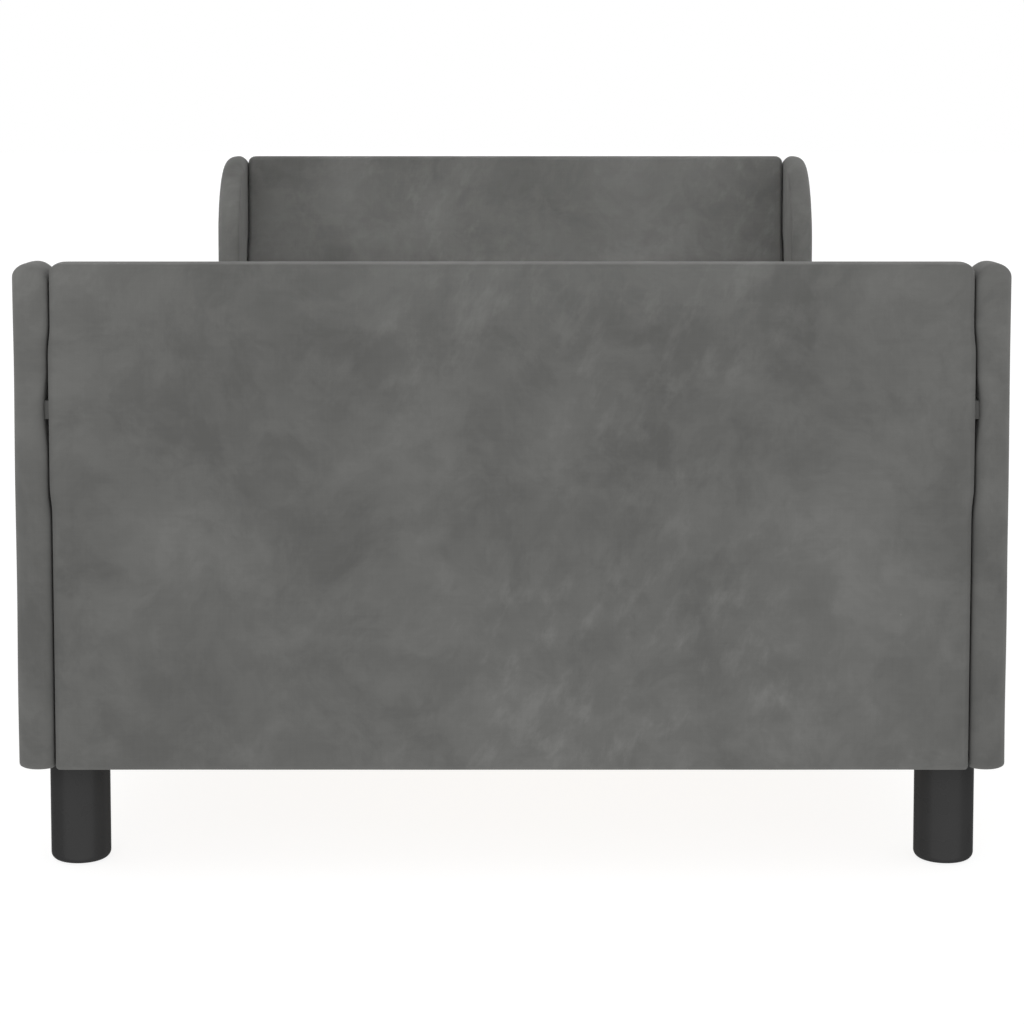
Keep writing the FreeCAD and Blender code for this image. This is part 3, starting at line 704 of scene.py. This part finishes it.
def make_leg(end, side, materials):
    """A round leg with a rounded lower edge and a narrow lip at its top."""
    node = f"{end}_leg_{side}"
    low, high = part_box(node)
    centre = (low + high) / 2
    radius = (high.x - low.x) / 2
    foot, lip = 6.0 * MM, 0.8 * MM
    profile = [(radius - foot, low.z)]
    for i in range(1, 11):
        a = math.pi / 2 * i / 10
        profile.append((radius - foot + foot * math.sin(a), low.z + foot - foot * math.cos(a)))
    profile += [(radius, low.z + share * (high.z - low.z)) for share in (0.12, 0.4, 0.7, 0.95)]
    profile += [(radius, high.z - lip), (radius - 0.3 * lip, high.z - 0.3 * lip),
                (radius - lip, high.z)]
    vertices, polygons = lathe(profile, centre)
    piece = new_piece(f"{end}_leg_turned_{side}", vertices, polygons, materials["leg_plastic"],
                      "bed")
    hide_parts(node)


# ---------------------------------------------------------------------------------------------
# Mattress
# ---------------------------------------------------------------------------------------------

CELL = 8.75 * MM
DIAMOND = 10                 # cells along a quilted diamond's half diagonal
STITCH_SINK = 5.5 * MM
PUFF = 6.0 * MM              # the most that a point moves in the simulation
SETTLE_FRAMES = 20
MATTRESS_CORNER = 0.040      # rounded corners, seen from above
MATTRESS_INSIDE = Vector((1.0 * MM, 1.0 * MM, 4.0 * MM))  # room that the quilt swells into
PIPING_RADIUS = 2.2 * MM


def mattress_shell(low, high):
    """A box of even square cells; returns its vertices, faces and each vertex's stitch weight."""
    nx = round((high.x - low.x) / CELL)
    ny = round((high.y - low.y) / CELL)
    nz = round((high.z - low.z) / CELL)
    index, vertices, weights = {}, [], []
    corner = MATTRESS_CORNER

    def vertex(i, j, k):
        if (i, j, k) in index:
            return index[i, j, k]
        x = low.x + (high.x - low.x) * i / nx
        y = low.y + (high.y - low.y) * j / ny
        z = low.z + (high.z - low.z) * k / nz
        cx = min(max(x, low.x + corner), high.x - corner)
        cy = min(max(y, low.y + corner), high.y - corner)
        dx, dy = x - cx, y - cy
        if dx and dy:
            square = max(abs(dx), abs(dy))
            length = math.hypot(dx, dy)
            x, y = cx + dx * square / length, cy + dy * square / length
        panel = k in (0, nz)
        stitched = panel and ((i + j) % DIAMOND == 0 or (i - j) % DIAMOND == 0)
        edge = panel and (i in (0, nx) or j in (0, ny))
        if stitched and not edge:
            z += STITCH_SINK if k == 0 else -STITCH_SINK
        weights.append(1.0 if stitched or edge else 0.0)
        index[i, j, k] = len(vertices)
        vertices.append((x, y, z))
        return index[i, j, k]

    polygons = []
    for i in range(nx):
        for j in range(ny):
            for k in (0, nz):
                polygons.append((vertex(i, j, k), vertex(i + 1, j, k), vertex(i + 1, j + 1, k),
                                 vertex(i, j + 1, k)))
    for k in range(nz):
        for j in (0, ny):
            for i in range(nx):
                polygons.append((vertex(i, j, k), vertex(i + 1, j, k), vertex(i + 1, j, k + 1),
                                 vertex(i, j, k + 1)))
        for i in (0, nx):
            for j in range(ny):
                polygons.append((vertex(i, j, k), vertex(i, j + 1, k), vertex(i, j + 1, k + 1),
                                 vertex(i, j, k + 1)))
    return vertices, polygons, weights


def puff_up(piece, weights, most):
    """Cloth under pressure, held at its stitches, and moved no further than most."""
    group = piece.vertex_groups.new(name="stitches")
    for i, weight in enumerate(weights):
        if weight:
            group.add([i], weight, "REPLACE")
    rest = np.array([v.co for v in piece.data.vertices])
    cloth = piece.modifiers.new("cloth", "CLOTH")
    cloth.settings.vertex_group_mass = "stitches"
    cloth.settings.use_pressure = True
    cloth.settings.uniform_pressure_force = 4.0
    cloth.settings.shrink_min = -0.035
    cloth.settings.quality = 4
    cloth.settings.effector_weights.gravity = 0.0
    cloth.collision_settings.use_collision = False
    cloth.point_cache.frame_start, cloth.point_cache.frame_end = 1, SETTLE_FRAMES
    scene = bpy.context.scene
    for number in range(1, SETTLE_FRAMES + 1):
        scene.frame_set(number)
    evaluated = piece.evaluated_get(bpy.context.evaluated_depsgraph_get())
    moved = np.array([v.co for v in evaluated.data.vertices]) - rest
    length = np.linalg.norm(moved, axis=1, keepdims=True)
    limited = most * np.tanh(length / most)
    placed = rest + moved * (limited / np.maximum(length, 1e-9))
    piece.modifiers.remove(cloth)
    piece.vertex_groups.clear()
    piece.data.vertices.foreach_set("co", placed.astype(np.float32).ravel())
    piece.data.update()
    scene.frame_set(1)


def make_mattress(materials):
    low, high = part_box("mattress_cover")
    low, high = low + MATTRESS_INSIDE, high - MATTRESS_INSIDE
    vertices, polygons, weights = mattress_shell(low, high)
    piece = new_piece("mattress_quilt", vertices, polygons, materials["mattress_cloth"],
                      "mattress")
    puff_up(piece, weights, PUFF)
    subdivide(piece)
    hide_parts("mattress_cover", "mattress_core")
    for name, z in (("upper", high.z), ("lower", low.z)):
        make_piping(f"mattress_piping_{name}", low, high, z, materials)


def make_piping(name, low, high, z, materials):
    """A cord covered with cloth, sewn round the mattress's edge."""
    corner = MATTRESS_CORNER
    centres = ((high.x - corner, high.y - corner, 0), (low.x + corner, high.y - corner, 90),
               (low.x + corner, low.y + corner, 180), (high.x - corner, low.y + corner, 270))
    loop = []
    for cx, cy, start in centres:
        for i in range(9):
            a = math.radians(start + 90 * i / 8)
            loop.append(Vector((cx + corner * math.cos(a), cy + corner * math.sin(a), z)))
    path = []
    for a, b in zip(loop, loop[1:] + loop[:1]):
        steps = max(1, round((b - a).length / 0.02))
        path += [a.lerp(b, i / steps) for i in range(steps)]
    vertices, polygons = [], []
    around, up = 12, Vector((0, 0, 1))
    for i, point in enumerate(path):
        ahead = (path[(i + 1) % len(path)] - path[i - 1]).normalized()
        out = ahead.cross(up)
        for j in range(around):
            a = 2 * math.pi * j / around
            vertices.append(point + PIPING_RADIUS * (math.cos(a) * out + math.sin(a) * up))
    for i in range(len(path)):
        for j in range(around):
            k, m = (j + 1) % around, (i + 1) % len(path)
            polygons.append((i * around + j, i * around + k, m * around + k, m * around + j))
    new_piece(name, vertices, polygons, materials["piping_cloth"], "mattress")


# ---------------------------------------------------------------------------------------------
# The whole scene
# ---------------------------------------------------------------------------------------------

def make_lights():
    """One wide panel in front, and two narrow ones aimed over the footboard at the headboard."""
    make_light("front_panel", (-0.5, -4.2, 1.9), (0.0, -0.4, 0.4), (2.2, 1.4), 24.0)
    for side, across in SIDES:
        make_light(f"headboard_panel_{side}", (1.3 * across, -3.2, 1.25),
                   (-0.30 * across, 0.71, 0.43), (0.9, 0.12), 0.22, math.radians(11))


def main():
    bpy.context.scene.view_settings.view_transform = "Standard"
    make_camera()
    make_world()
    make_floor()
    make_lights()
    materials = make_materials()
    paint_frame(materials)
    for end, along in ENDS:
        make_board(end, along, materials)
        for side, across in SIDES:
            make_wing(end, along, side, across, materials)
            make_leg(end, side, materials)
    for side, across in SIDES:
        make_side_rail(side, across, materials)
    make_mattress(materials)


main()
